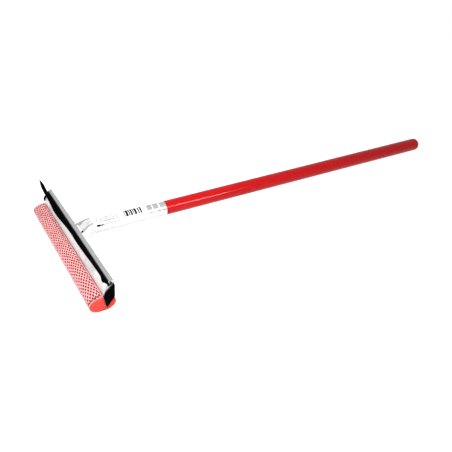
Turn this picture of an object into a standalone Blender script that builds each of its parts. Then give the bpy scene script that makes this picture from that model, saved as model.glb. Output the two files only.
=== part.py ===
"""Windshield squeegee with a wooden handle, a rubber blade and a net-covered sponge.

The tool is modelled lying at rest: the sponge's flat underside and the handle's tip touch z = 0.
Each piece is drawn in the tool's own axes, which the empty squeegee_frame tips into place:
x runs along the head, y from the head's back face to the handle's tip, z up from the handle's axis.
"""
import math

import bmesh
import bpy
from mathutils import Matrix, Vector

# Handle and socket, in metres
HANDLE_DIAMETER = 0.0190
HANDLE_REACH = 0.5566
TIP_ROUNDING = 0.0085
SPIGOT_START = 0.0240
SPIGOT_CHAMFER = 0.0010
SOCKET_LENGTH = 0.1136
SOCKET_WALL = 0.0008
LABEL_PAPER = 0.0002
LABEL_GAP = 0.00015
NAIL_DIAMETER = 0.0022
NAIL_LENGTH = 0.0130
NAIL_HEAD_DIAMETER = 0.0044
NAIL_HEAD_HEIGHT = 0.0005
NAIL_POINT = 0.0025
NAIL_PLACE = 0.0450

# Head: one bent back sheet and one front plate
HEAD_LENGTH = 0.2630
SHEET = 0.0008
BEND_RADIUS = 0.0009
SHOULDER_RADIUS = 0.0040
CHANNEL_TOP = 0.0031
CHANNEL_DEPTH = 0.0065
BACK_HEIGHT = 0.0183
BACK_LEAN = 0.0008
LEG_REACH = 0.0112
LEG_DROP = 0.0108
HOOK_FLAT = 0.0026
HOOK_REACH = 0.0034
HOOK_RISE = 0.0042
LIP_LENGTH = 0.0034
LIP_FLARE = 0.0012
SHOULDER_DROP = 0.0162
SHOULDER_BULGE = 0.0006
PLATE_SEAT = 0.0005

# Rubber blade
EDGE_OVERHANG_FAR = 0.0135
EDGE_OVERHANG_NEAR = 0.0150
SLOT_OVERHANG_FAR = 0.0029
SLOT_OVERHANG_NEAR = 0.0025
ROOT_INSET_FAR = 0.0005
ROOT_INSET_NEAR = 0.0015
# How full the slanted ends are between the slot and the free edge: 1 is a straight cut
FAR_END_FULLNESS = 2.2
NEAR_END_FULLNESS = 1.0
BLADE_THICKNESS = 0.0022
BLADE_EDGE_THICKNESS = 0.0010
BLADE_PROUD = 0.0142
BLADE_ROOT = 0.0046
BLADE_ANGLE = math.radians(61.3)
BLADE_RECOIL = 0.0010
# Each wave of the blade's edge: its depth, forward of the slot's line, and its middle and half width
# as shares of half the blade's length. The far tip bends back and the near tip droops forward.
BLADE_WAVES = (
    (-0.0016, -1.00, 0.13),
    (0.0022, -0.72, 0.30),
    (0.0047, -0.27, 0.52),
    (0.0021, 0.35, 0.66),
    (0.0022, 1.00, 0.09),
)
# How far the overhanging far tip bellies back at mid height, and the share of half the blade that does
TAIL_BELLY = 0.0017
TAIL_SHARE = 0.13

# End caps
CAP_THICKNESS = 0.0018
CAP_PLUG_DEPTH = 0.0060
CAP_PLUG_INSET = 0.0035
CAP_DROP = 0.0035
CAP_NOSE_REACH = 0.0089
CAP_NOSE_FALL = 0.0073
CAP_FRONT_RISE = 0.0028
CAP_KNEE_INSET = 0.0012
CAP_EDGE = 0.0005
END_NOTCH_EXTRA = 0.0026
FAR_CAP_LIFT = 0.0042

# Sponge and its net
SPONGE_OVERHANG = 0.0015
SPONGE_DEPTH = 0.0300
SPONGE_HEIGHT = 0.0180
SPONGE_LEAD = 0.0030
SPONGE_LIFT = 0.0036
NET_OVERHANG = 0.0003
NET_THICKNESS = 0.0012
REST_CUT = 0.0005

# Yoke between the socket and the head
FAN_START = 0.0185
FAN_HALF_WIDTH = 0.0460
FOOT_HALF_LENGTH = 0.0540
FOOT_THICKNESS = 0.0012
FOOT_TOP_DROP = 0.0019
FOOT_HEIGHT = 0.0089
FOOT_CORNER = 0.0015
WINDOW_HALF_WIDTH = 0.0125
WINDOW_CORNER = 0.0012
WINDOW_SILL = 0.0011
RIVET_SPREAD = 0.0498
RIVET_DIAMETER = 0.0030
RIVET_HEAD_DIAMETER = 0.0056
RIVET_HEAD_HEIGHT = 0.0012
# How sharply the fan's plan curves, and how square its section is at the socket and at the foot
FAN_CURVE = 1.5
ROUND_SECTION = 2.0
SQUARE_SECTION = 4.5

# Clearances
FIT = 0.0003
OVERRUN = 0.0050
WELD = 0.00001

# Counts
ROUND_STEPS = 48
ARC_STEPS = 6
FAN_STEPS = 12
ELLIPSE_STEPS = 48
BLADE_STEPS = 80
SETTLE_STEPS = 12


# Values that follow from the sizes above
LABEL_RADIUS = HANDLE_DIAMETER / 2
SOCKET_RADIUS = LABEL_RADIUS - LABEL_PAPER - LABEL_GAP
BORE_RADIUS = SOCKET_RADIUS - SOCKET_WALL
SPIGOT_RADIUS = BORE_RADIUS - FIT
ALONG_BLADE = Vector((-math.cos(BLADE_ANGLE), math.sin(BLADE_ANGLE)))
ACROSS_BLADE = Vector((math.sin(BLADE_ANGLE), math.cos(BLADE_ANGLE)))
HALF_SLOT = BLADE_THICKNESS / 2 + FIT + SHEET / 2
SPONGE_LENGTH = HEAD_LENGTH + 2 * SPONGE_OVERHANG
NET_LENGTH = HEAD_LENGTH + 2 * NET_OVERHANG
FOOT_BACK = FIT + FOOT_THICKNESS
FOOT_TOP = CHANNEL_TOP - FOOT_TOP_DROP
FOOT_MIDDLE = FOOT_TOP - FOOT_HEIGHT / 2


def left_of(direction):
    """The unit vector a quarter turn to the left of a direction in the y-z plane."""
    unit = direction.normalized()
    return Vector((-unit.y, unit.x))


def offset_path(points, distance, closed=False):
    """A copy of a path or outline moved to its left by a distance, with mitred corners."""
    count = len(points)
    moved = []
    for index, point in enumerate(points):
        before = points[(index - 1) % count]
        after = points[(index + 1) % count]
        if not closed and index == 0:
            moved.append(point + left_of(after - point) * distance)
        elif not closed and index == count - 1:
            moved.append(point + left_of(point - before) * distance)
        else:
            first = left_of(point - before)
            second = left_of(after - point)
            mitre = (first + second).normalized()
            moved.append(point + mitre * (distance / mitre.dot(first)))
    return moved


def rounded(points, radius, closed=False):
    """A path or outline with each of its corners replaced by an arc."""
    count = len(points)
    path = []
    for index, point in enumerate(points):
        if not closed and index in (0, count - 1):
            path.append(point)
            continue
        back = (points[(index - 1) % count] - point).normalized()
        ahead = (points[(index + 1) % count] - point).normalized()
        half_angle = back.angle(ahead) / 2
        start = point + back * (radius / math.tan(half_angle))
        centre = point + (back + ahead).normalized() * (radius / math.sin(half_angle))
        spoke = start - centre
        sweep = math.copysign(math.pi - 2 * half_angle, back.cross(ahead))
        for step in range(ARC_STEPS + 1):
            path.append(centre + Matrix.Rotation(-sweep * step / ARC_STEPS, 2) @ spoke)
    return path


def band(path, half_width):
    """The closed outline of a strip that follows a path."""
    return offset_path(path, half_width) + offset_path(path, -half_width)[::-1]


def height_on(line, z):
    """The point at a height z on the line through two points."""
    start, end = line
    share = (z - start.y) / (end.y - start.y)
    return start + (end - start) * share


def back_corners():
    """Corners of the back sheet's middle line, from the blade's slot over the top and down to its hook."""
    flange = CHANNEL_TOP - SHEET / 2
    front = Vector((SHEET / 2 - CHANNEL_DEPTH, flange))
    back = Vector((-SHEET / 2, flange))
    knee = back + Vector((-BACK_LEAN, -BACK_HEIGHT))
    toe = knee + Vector((-LEG_REACH, -LEG_DROP))
    hook_bend = toe + Vector((-HOOK_FLAT, 0))
    hook_end = hook_bend + Vector((-HOOK_REACH, HOOK_RISE))
    return [front - ALONG_BLADE * LIP_LENGTH, front, back, knee, toe, hook_bend, hook_end]


def mouth():
    """The middle of the slot that holds the blade."""
    return back_corners()[1] - ACROSS_BLADE * HALF_SLOT


def plate_corners():
    """Corners of the front plate's middle line, from its lip down to its foot on the back sheet."""
    lip = mouth() - ACROSS_BLADE * HALF_SLOT
    knee, toe = back_corners()[3:5]
    shoulder = Vector((toe.x - SHOULDER_BULGE, CHANNEL_TOP - SHOULDER_DROP))
    leg_slope = math.atan2(LEG_DROP, LEG_REACH)
    foot = toe + Vector((0, (SHEET + PLATE_SEAT) / math.cos(leg_slope)))
    return [lip + ALONG_BLADE * LIP_FLARE, lip - ALONG_BLADE * LIP_LENGTH, shoulder, foot]


def leg_outline():
    """The outline of the whole head below its slot, which the sponge is slit for."""
    back_top, knee, toe = offset_path(back_corners(), SHEET / 2)[2:5]
    lip, shoulder, foot = offset_path(plate_corners()[1:], -SHEET / 2)
    return [back_top, knee, toe, foot, shoulder, lip]


def cap_outline():
    """The end cap's outline: it covers the hollow between the sheets."""
    back_top, knee, toe, foot, shoulder, lip = leg_outline()
    top = height_on((back_top, knee), CHANNEL_TOP - CAP_DROP)
    nose = top + Vector((-CAP_NOSE_REACH, -CAP_NOSE_FALL))
    front = height_on((lip, shoulder), shoulder.y + CAP_FRONT_RISE)
    return [top, nose, front, shoulder, toe, knee + Vector((-CAP_KNEE_INSET, 0))]


def sponge_centre():
    """The middle of the sponge's section."""
    return back_corners()[4] + Vector((-SPONGE_LEAD, SPONGE_LIFT))


def settle_angle():
    """How far the handle dips from the sponge to its tip when the tool lies on a flat surface."""
    radius = HANDLE_DIAMETER / 2
    run = HANDLE_REACH - TIP_ROUNDING - sponge_centre().x
    rise = -sponge_centre().y
    dip = 0.0
    for step in range(SETTLE_STEPS):
        tip_depth = math.hypot(radius * math.cos(dip), TIP_ROUNDING * math.sin(dip))
        fall = rise * math.cos(dip) + SPONGE_HEIGHT / 2 - REST_CUT - tip_depth
        dip = math.asin(fall / run)
    return dip


def material(name, colour, roughness, metallic=0.0):
    """A plain Principled material."""
    look = bpy.data.materials.new(name)
    look.use_nodes = True
    shader = look.node_tree.nodes["Principled BSDF"]
    shader.inputs["Base Color"].default_value = (*colour, 1.0)
    shader.inputs["Roughness"].default_value = roughness
    shader.inputs["Metallic"].default_value = metallic
    return look


def add_object(name, mesh, look=None):
    """Puts a mesh under the tool's frame, among the parts, or among the cutters if it has no material."""
    thing = bpy.data.objects.new(name, mesh)
    if look:
        mesh.materials.append(look)
        bpy.data.collections["squeegee"].objects.link(thing)
    else:
        thing.hide_render = True
        thing.display_type = "WIRE"
        bpy.data.collections["cutters"].objects.link(thing)
    thing.parent = bpy.data.objects["squeegee_frame"]
    return thing


def shade_round(thing):
    """Smooth shading on a round piece, with its edges kept sharp."""
    thing.data.shade_smooth()
    thing.data.set_sharp_from_angle(angle=math.radians(35))


def prism(name, outline, length, look=None, middle=0.0, upright=False):
    """A flat outline given thickness: along x, or along z if it is drawn in plan."""
    curve = bpy.data.curves.new(name, "CURVE")
    curve.dimensions = "2D"
    curve.fill_mode = "BOTH"
    curve.extrude = length / 2
    spline = curve.splines.new("POLY")
    spline.points.add(len(outline) - 1)
    for point, place in zip(spline.points, outline):
        point.co = (place[0], place[1], 0, 1)
    spline.use_cyclic_u = True
    holder = bpy.data.objects.new(name + "_outline", curve)
    bpy.context.scene.collection.objects.link(holder)
    bpy.context.view_layer.update()
    mesh = bpy.data.meshes.new_from_object(holder.evaluated_get(bpy.context.evaluated_depsgraph_get()))
    bpy.data.objects.remove(holder)
    weld(mesh)
    if upright:
        mesh.transform(Matrix.Translation((0, 0, middle)))
    else:
        along_x = Matrix(((0, 0, 1, middle), (1, 0, 0, 0), (0, 1, 0, 0), (0, 0, 0, 1)))
        mesh.transform(along_x)
    return add_object(name, mesh, look)


def weld(mesh):
    """Joins a mesh's doubled points."""
    build = bmesh.new()
    build.from_mesh(mesh)
    bmesh.ops.remove_doubles(build, verts=build.verts, dist=WELD)
    bmesh.ops.recalc_face_normals(build, faces=build.faces)
    build.to_mesh(mesh)
    build.free()


def bent_sheet(name, path, length, look):
    """A sheet of steel bent along a path and as long as the head."""
    half = length / 2
    points = [(x, place.x, place.y) for place in path for x in (-half, half)]
    faces = [(i, i + 1, i + 3, i + 2) for i in range(0, len(points) - 2, 2)]
    mesh = bpy.data.meshes.new(name)
    mesh.from_pydata(points, [], faces)
    thing = add_object(name, mesh, look)
    shell = thing.modifiers.new("sheet", "SOLIDIFY")
    shell.thickness = SHEET
    shell.offset = 0
    shell.use_even_offset = True
    return thing


def turned(name, profile, look=None):
    """A turned piece: a profile of (radius, height) points, top to bottom, spun about its own z axis."""
    mesh = bpy.data.meshes.new(name)
    points = [(radius, 0, height) for radius, height in profile]
    edges = [(i, i + 1) for i in range(len(points) - 1)]
    if profile[0][0] > 0:
        edges.append((len(points) - 1, 0))
    mesh.from_pydata(points, edges, [])
    thing = add_object(name, mesh, look)
    spin = thing.modifiers.new("spin", "SCREW")
    spin.steps = ROUND_STEPS
    spin.render_steps = ROUND_STEPS
    spin.use_merge_vertices = True
    spin.merge_threshold = WELD
    spin.use_smooth_shade = True
    return thing


def loft(name, rings, look=None):
    """A closed body through rings that have the same number of points."""
    count = len(rings[0])
    points = [place for ring in rings for place in ring]
    faces = [tuple(range(count)), tuple(range(len(points) - 1, len(points) - count - 1, -1))]
    for start in range(0, len(points) - count, count):
        for i in range(count):
            ahead = (i + 1) % count
            faces.append((start + ahead, start + i, start + count + i, start + count + ahead))
    mesh = bpy.data.meshes.new(name)
    mesh.from_pydata(points, [], faces)
    weld(mesh)
    return add_object(name, mesh, look)


def combine(thing, other, operation):
    """Cuts another object out of a piece, or joins it on."""
    step = thing.modifiers.new(other.name, "BOOLEAN")
    step.operation = operation
    step.solver = "EXACT"
    step.object = other


def cut(thing, cutter):
    """Cuts another object out of a piece."""
    combine(thing, cutter, "DIFFERENCE")


def lay_along_y(thing, x=0.0, y=0.0, z=0.0):
    """Turns a turned piece so that its own z axis points along y."""
    thing.rotation_euler = (-math.pi / 2, 0, 0)
    thing.location = (x, y, z)


def make_handle(look):
    """Dowel with an oval tip, and a thinner spigot in the socket."""
    radius = HANDLE_DIAMETER / 2
    shoulder = SOCKET_LENGTH + FIT
    centre = HANDLE_REACH - TIP_ROUNDING
    profile = []
    for step in range(2 * ARC_STEPS + 1):
        angle = math.pi / 2 * step / (2 * ARC_STEPS)
        profile.append((radius * math.sin(angle), centre + TIP_ROUNDING * math.cos(angle)))
    profile.append((radius, shoulder))
    profile.append((SPIGOT_RADIUS, shoulder))
    profile.append((SPIGOT_RADIUS, SPIGOT_START + SPIGOT_CHAMFER))
    profile.append((SPIGOT_RADIUS - SPIGOT_CHAMFER, SPIGOT_START))
    profile.append((0, SPIGOT_START))
    handle = turned("handle", profile, look)
    lay_along_y(handle)
    return handle


def make_label(look):
    """Paper sleeve round the socket."""
    inner = LABEL_RADIUS - LABEL_PAPER
    start = FAN_START + FIT
    profile = [(LABEL_RADIUS, SOCKET_LENGTH), (LABEL_RADIUS, start), (inner, start), (inner, SOCKET_LENGTH)]
    lay_along_y(turned("label", profile, look))


def make_nail(look):
    """Nail that holds the spigot, with its head let into the underside of the socket."""
    shank = NAIL_DIAMETER / 2
    head = NAIL_HEAD_DIAMETER / 2
    head_low = -math.sqrt(SOCKET_RADIUS ** 2 - head ** 2)
    head_top = head_low + NAIL_HEAD_HEIGHT
    point = head_low + NAIL_LENGTH
    profile = [(0, point), (shank, point - NAIL_POINT), (shank, head_top), (head, head_top), (head, head_low)]
    nail = turned("handle_nail", profile + [(0, head_low)], look)
    nail.location = (0, NAIL_PLACE, 0)


def round_cutter(name, radius, low, high):
    """A plain cylinder to cut with, from low to high on its own z axis."""
    return turned(name, [(0, high), (radius, high), (radius, low), (0, low)])


def cut_nail_holes(handle, yoke):
    """The nail's hole in the spigot and its head's hole in the socket's wall."""
    bottom = NAIL_LENGTH + FIT - SOCKET_RADIUS
    hole = round_cutter("nail_hole", NAIL_DIAMETER / 2 + FIT, -HANDLE_DIAMETER, bottom)
    seat = round_cutter("nail_seat", NAIL_HEAD_DIAMETER / 2 + FIT, -HANDLE_DIAMETER, FIT - SPIGOT_RADIUS)
    for cutter in (hole, seat):
        cutter.location = (0, NAIL_PLACE, 0)
    cut(handle, hole)
    cut(yoke, seat)


def fan_ring(share, wall):
    """One section of the yoke's fan, from the round socket at share 0 to the flat foot at share 1."""
    ease = (1 - math.cos(math.pi * share)) / 2
    curve = (1 - share ** FAN_CURVE) ** (1 / FAN_CURVE)
    half_width = FAN_HALF_WIDTH - (FAN_HALF_WIDTH - SOCKET_RADIUS) * curve - wall
    top = SOCKET_RADIUS + (FOOT_TOP - FIT - SOCKET_RADIUS) * ease - wall
    bottom = -SOCKET_RADIUS + (FOOT_TOP - FOOT_HEIGHT + FIT + SOCKET_RADIUS) * ease + wall
    squareness = ROUND_SECTION + (SQUARE_SECTION - ROUND_SECTION) * share
    y = FAN_START + (FOOT_BACK - FAN_START) * share
    return oval_ring(y, half_width, (top - bottom) / 2, (top + bottom) / 2, squareness)


def oval_ring(y, half_width, half_height, middle, squareness):
    """A ring at y that is round at squareness 2 and nears a rectangle above it."""
    ring = []
    for step in range(ROUND_STEPS):
        angle = 2 * math.pi * step / ROUND_STEPS
        across = math.copysign(abs(math.cos(angle)) ** (2 / squareness), math.cos(angle))
        upward = math.copysign(abs(math.sin(angle)) ** (2 / squareness), math.sin(angle))
        ring.append((half_width * across, y, middle + half_height * upward))
    return ring


def socket_and_fan(name, wall, mouth_y, end_y, look=None):
    """The yoke's outside, or with a wall its hollow, from the socket's mouth to an end at the foot."""
    shares = [1 - (1 - step / FAN_STEPS) ** 2 for step in range(FAN_STEPS + 1)]
    rings = [fan_ring(share, wall) for share in shares]
    mouth_ring = [(x, mouth_y, z) for x, y, z in rings[0]]
    end_ring = [(x, end_y, z) for x, y, z in rings.pop()]
    return loft(name, [mouth_ring] + rings + [end_ring], look)


def window_outline():
    """The yoke's window in plan: a triangle with its base along the head."""
    sill = FOOT_BACK + WINDOW_SILL
    return [Vector((-WINDOW_HALF_WIDTH, sill)), Vector((WINDOW_HALF_WIDTH, sill)), Vector((0, FAN_START))]


def make_yoke(look):
    """Socket, fan and foot in one piece, hollow, with a walled window through the fan."""
    yoke = socket_and_fan("yoke", 0.0, SOCKET_LENGTH, FOOT_BACK - FOOT_THICKNESS / 2, look)
    shade_round(yoke)
    half = FOOT_HEIGHT / 2
    edge = FOOT_HALF_LENGTH
    foot_corners = [Vector((x, z)) for x, z in ((-edge, -half), (edge, -half), (edge, half), (-edge, half))]
    foot = prism("yoke_foot", rounded(foot_corners, FOOT_CORNER, closed=True), FOOT_THICKNESS, upright=True)
    foot.rotation_euler = (math.pi / 2, 0, 0)
    foot.location = (0, FIT + FOOT_THICKNESS / 2, FOOT_MIDDLE)
    combine(yoke, foot, "UNION")
    hollow = socket_and_fan("yoke_hollow", SOCKET_WALL, SOCKET_LENGTH + OVERRUN, FOOT_BACK)
    opening = rounded(window_outline(), WINDOW_CORNER, closed=True)
    rim = offset_path(opening, -SOCKET_WALL, closed=True)
    window = prism("window", opening, 4 * HANDLE_DIAMETER, upright=True)
    window_rim = prism("window_rim", rim, 4 * HANDLE_DIAMETER, upright=True)
    cut(hollow, window_rim)
    cut(yoke, hollow)
    cut(yoke, window)
    return yoke


def rivet_profile():
    """Domed head outside the foot, shank, and closed head inside the back sheet."""
    shank = RIVET_DIAMETER / 2
    head = RIVET_HEAD_DIAMETER / 2
    outer = FOOT_BACK + FIT
    inner = -SHEET - BACK_LEAN - FIT
    profile = []
    for step in range(ARC_STEPS + 1):
        angle = math.pi / 2 * step / ARC_STEPS
        profile.append((head * math.sin(angle), outer + RIVET_HEAD_HEIGHT * math.cos(angle)))
    profile += [(shank, outer), (shank, inner), (head, inner), (head, inner - RIVET_HEAD_HEIGHT)]
    profile.append((0, inner - RIVET_HEAD_HEIGHT))
    return profile


def make_rivets(look, yoke, back_sheet):
    """Two rivets through the yoke's foot and the back sheet, one beyond each side of the fan."""
    for side, name in ((-1, "far"), (1, "near")):
        place = (side * RIVET_SPREAD, 0, FOOT_MIDDLE)
        lay_along_y(turned("yoke_rivet_" + name, rivet_profile(), look), *place)
        hole = round_cutter("rivet_hole_" + name, RIVET_DIAMETER / 2 + FIT, -OVERRUN, OVERRUN)
        lay_along_y(hole, *place)
        cut(yoke, hole)
        cut(back_sheet, hole)


def make_sheets(steel, bright_steel):
    """The head's bent back sheet and its bright front plate."""
    back_sheet = bent_sheet("back_sheet", rounded(back_corners(), BEND_RADIUS), HEAD_LENGTH, steel)
    lip, bend, shoulder, foot = plate_corners()
    upper = rounded([lip, bend, shoulder], BEND_RADIUS)[:-1]
    lower = rounded([bend, shoulder, foot], SHOULDER_RADIUS)[1:]
    bent_sheet("front_plate", upper + lower, HEAD_LENGTH, bright_steel)
    return back_sheet


def wave(share, middle_share, half_share):
    """A smooth bump of height 1 round a middle, zero past its half width."""
    offset = (share - middle_share) / half_share
    if abs(offset) >= 1:
        return 0.0
    return math.cos(math.pi / 2 * offset) ** 2


def blade_end(along, root_inset, slot_overhang, edge_overhang, fullness):
    """How far the blade reaches from the head's middle at a distance out of the slot, at one of its ends."""
    inside = min(along, 0) / BLADE_ROOT
    outside = 1 - (1 - max(along, 0) / BLADE_PROUD) ** fullness
    reach = HEAD_LENGTH / 2 + slot_overhang
    return reach + (edge_overhang - slot_overhang) * outside + (root_inset + slot_overhang) * inside


def blade_ring(share):
    """The blade's section at a share from -1 at its far end to 1, pushed forward where the rubber waves."""
    bulge = sum(depth * wave(share, middle, half) for depth, middle, half in BLADE_WAVES) - BLADE_RECOIL
    belly = TAIL_BELLY * wave(share, -1.0, TAIL_SHARE)
    ring = []
    stations = [-BLADE_ROOT] + [BLADE_PROUD * step / ARC_STEPS for step in range(ARC_STEPS + 1)]
    for side in (-1, 1):
        for along in stations[::-side]:
            free = max(along, 0) / BLADE_PROUD
            half = (BLADE_THICKNESS + (BLADE_EDGE_THICKNESS - BLADE_THICKNESS) * free) / 2
            far = blade_end(along, ROOT_INSET_FAR, SLOT_OVERHANG_FAR, EDGE_OVERHANG_FAR, FAR_END_FULLNESS)
            near = blade_end(
                along, ROOT_INSET_NEAR, SLOT_OVERHANG_NEAR, EDGE_OVERHANG_NEAR, NEAR_END_FULLNESS
            )
            shift = side * half - bulge * free ** 2 + belly * math.sin(math.pi * free)
            place = mouth() + ALONG_BLADE * along + ACROSS_BLADE * shift
            ring.append(((far + near) * (1 + share) / 2 - far, place.x, place.y))
    return ring


def make_blade(look):
    """Rubber strip pinched in the slot, tapered to its free edge, with slanted ends past the head."""
    shares = [2 * step / BLADE_STEPS - 1 for step in range(BLADE_STEPS + 1)]
    shade_round(loft("wiper_blade", [blade_ring(share) for share in shares], look))


def end_plate_outline():
    """The whole section of the head, with a notch above for the blade's root and the channel's open end."""
    half = BLADE_THICKNESS / 2 + FIT
    back = half + END_NOTCH_EXTRA
    root = mouth() - ALONG_BLADE * (BLADE_ROOT + FIT)
    top = offset_path(back_corners()[1:], SHEET / 2)[1]
    slot_edge = height_on((mouth() + ACROSS_BLADE * back, root + ACROSS_BLADE * back), top.y)
    return leg_outline() + [root - ACROSS_BLADE * half, root + ACROSS_BLADE * back, slot_edge]


def make_ends(steel, plastic):
    """A steel plate over each end of the head, and a plastic cap whose plug passes through it.

    The far cap sits a little higher in the head than the near one.
    """
    plate_face = HEAD_LENGTH / 2 + FIT
    cap_face = plate_face + SHEET + FIT
    for side, lift, name in ((-1, FAR_CAP_LIFT, "far"), (1, 0.0, "near")):
        outline = [place + Vector((0, lift)) for place in cap_outline()]
        plug = offset_path(outline, CAP_PLUG_INSET, closed=True)
        plug_hole = offset_path(outline, CAP_PLUG_INSET - FIT, closed=True)
        plate = prism("end_plate_" + name, end_plate_outline(), SHEET, steel, side * (plate_face + SHEET / 2))
        cut(plate, prism("plug_hole_" + name, plug_hole, OVERRUN, middle=side * plate_face))
        cap_middle = cap_face + CAP_THICKNESS / 2
        rim = rounded(outline, CAP_EDGE, closed=True)
        cap = prism("end_cap_" + name, rim, CAP_THICKNESS, plastic, side * cap_middle)
        plug_length = CAP_PLUG_DEPTH + CAP_THICKNESS / 2
        plug_middle = cap_middle - plug_length / 2
        combine(cap, prism("cap_plug_" + name, plug, plug_length, middle=side * plug_middle), "UNION")


def oval(half_depth, half_height, cut_depth=0.0):
    """The sponge's oval section, level with the ground, with a flat of a given depth cut off below."""
    centre = sponge_centre()
    level = Matrix.Rotation(settle_angle(), 2)
    start = -math.asin((half_height - cut_depth) / half_height)
    sweep = math.pi - 2 * start
    steps = ELLIPSE_STEPS
    if cut_depth == 0:
        steps -= 1
        sweep *= steps / ELLIPSE_STEPS
    outline = []
    for step in range(steps + 1):
        angle = start + sweep * step / steps
        outline.append(centre + level @ Vector((half_depth * math.cos(angle), half_height * math.sin(angle))))
    return outline


def make_sponge(foam, net):
    """The foam core and the net round it, both slit for the head and its hook."""
    hook = back_corners()[4:]
    hook[-1] = hook[-1] + (hook[-1] - hook[-2]).normalized() * 2 * FIT
    notch = prism("sponge_notch", offset_path(leg_outline(), FIT, closed=True), SPONGE_LENGTH + OVERRUN)
    slit = prism("sponge_slit", band(hook, SHEET / 2 + FIT), HEAD_LENGTH + 2 * FIT)
    inner_depth = SPONGE_DEPTH / 2 - NET_THICKNESS
    inner_height = SPONGE_HEIGHT / 2 - NET_THICKNESS
    core = prism("sponge", oval(inner_depth - FIT, inner_height - FIT), SPONGE_LENGTH, foam)
    cover = prism("net_cover", oval(SPONGE_DEPTH / 2, SPONGE_HEIGHT / 2, REST_CUT), NET_LENGTH, net)
    inside = prism("net_inside", oval(inner_depth, inner_height), SPONGE_LENGTH + OVERRUN)
    cut(cover, inside)
    cut(cover, notch)
    lip_face = NET_LENGTH / 2 + FIT
    lip_outline = oval(SPONGE_DEPTH / 2 - FIT, SPONGE_HEIGHT / 2 - FIT, REST_CUT)
    for side, name in ((-1, "far"), (1, "near")):
        middle = side * (lip_face + SPONGE_LENGTH / 2) / 2
        lip = prism("sponge_lip_" + name, lip_outline, SPONGE_LENGTH / 2 - lip_face, middle=middle)
        combine(core, lip, "UNION")
    cut(core, notch)
    cut(core, slit)
    for thing in (core, cover):
        shade_round(thing)


def place_frame():
    """The empty that carries every piece, tipped so that sponge and handle tip lie on z = 0."""
    frame = bpy.data.objects.new("squeegee_frame", None)
    bpy.context.scene.collection.objects.link(frame)
    dip = settle_angle()
    centre = Matrix.Rotation(-dip, 2) @ sponge_centre()
    frame.rotation_euler = (-dip, 0, 0)
    frame.location = (0, -centre.x, SPONGE_HEIGHT / 2 - REST_CUT - centre.y)


def main():
    for thing in list(bpy.data.objects):
        bpy.data.objects.remove(thing)
    for name in ("squeegee", "cutters"):
        bpy.context.scene.collection.children.link(bpy.data.collections.new(name))
    place_frame()
    red_paint = material("red_paint", (0.60, 0.015, 0.02), 0.35)
    paper = material("paper", (0.90, 0.90, 0.88), 0.6)
    white_paint = material("white_paint", (0.86, 0.86, 0.86), 0.35)
    steel = material("steel", (0.62, 0.62, 0.63), 0.35, 1.0)
    bright_steel = material("bright_steel", (0.85, 0.85, 0.86), 0.25, 1.0)
    rubber = material("rubber", (0.012, 0.012, 0.013), 0.55)
    black_plastic = material("black_plastic", (0.015, 0.015, 0.016), 0.45)
    foam = material("foam", (0.85, 0.09, 0.06), 0.9)
    net = material("net", (0.90, 0.42, 0.42), 0.8)

    handle = make_handle(red_paint)
    yoke = make_yoke(white_paint)
    make_label(paper)
    make_nail(steel)
    cut_nail_holes(handle, yoke)
    back_sheet = make_sheets(steel, bright_steel)
    make_rivets(steel, yoke, back_sheet)
    make_blade(rubber)
    make_ends(steel, black_plastic)
    make_sponge(foam, net)


if __name__ == "__main__":
    main()
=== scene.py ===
"""Windshield squeegee: gives the tool's solids their finishes, makes its sponge and net, and sets the stage.

Laid out as an add-on: each operator finishes one piece or group of like pieces, and the panel lists them.
Everything is in metres, in the frame of the solids: x along the head, y towards the handle's tip, z up.
"""
import math

import bpy
from bpy.props import FloatProperty, FloatVectorProperty, PointerProperty
from mathutils import Matrix, Vector, noise


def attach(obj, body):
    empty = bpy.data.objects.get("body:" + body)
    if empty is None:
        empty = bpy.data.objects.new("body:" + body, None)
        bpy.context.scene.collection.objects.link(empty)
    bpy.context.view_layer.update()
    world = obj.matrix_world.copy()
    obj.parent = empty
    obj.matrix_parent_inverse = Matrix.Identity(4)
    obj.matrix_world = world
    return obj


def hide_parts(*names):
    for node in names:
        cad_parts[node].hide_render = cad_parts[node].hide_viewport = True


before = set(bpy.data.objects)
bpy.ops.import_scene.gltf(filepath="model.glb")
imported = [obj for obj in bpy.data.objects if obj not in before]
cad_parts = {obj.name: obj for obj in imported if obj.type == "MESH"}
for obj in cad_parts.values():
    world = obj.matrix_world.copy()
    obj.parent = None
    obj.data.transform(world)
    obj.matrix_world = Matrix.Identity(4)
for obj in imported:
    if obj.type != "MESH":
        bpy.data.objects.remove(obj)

bl_info = {
    "name": "Windshield squeegee",
    "version": (1, 0, 0),
    "blender": (4, 5, 0),
    "location": "3D View > Sidebar > Squeegee",
    "description": "Finishes a wooden-handled windshield squeegee and its studio stage",
    "category": "Object",
}

BODY = "root"

# Where the tool's own axes lie: how far the handle dips, and the middle of the head's top in the frame
TOOL_DIP = 0.03866868
TOOL_PLACE = Vector((0, 0.01626991, 0.03068761))
LABEL_RADIUS = 0.0095

# The sponge's oval and the wedge that the head leaves in it, in the frame's y and z
OVAL_MIDDLE = Vector((0, 0.0085))
WEDGE_FRONT = Vector((0.00207, 0.01827))
WEDGE_TOE_FRONT = Vector((0.00223, 0.00655))
WEDGE_TOE_BACK = Vector((0.00282, 0.00381))
WEDGE_BACK = Vector((0.01514, 0.01481))
HOOK_PATH = (
    Vector((0.0042, 0.0060)), Vector((0.00286, 0.00479)),
    Vector((0.00026, 0.00489)), Vector((-0.0031, 0.0094)),
)
SPONGE_HALF_LENGTH = 0.1330
NET_HALF_LENGTH = 0.1318

# Points round the foam's oval and along each side of the wedge
ARC_POINTS = 120
WEDGE_POINTS = 8

# Between which angles the oval meets the wedge's front and back, and the steps in finding where
FRONT_RANGE = (math.radians(40), math.pi)
BACK_RANGE = (0.0, math.radians(70))
HALVINGS = 40

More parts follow.
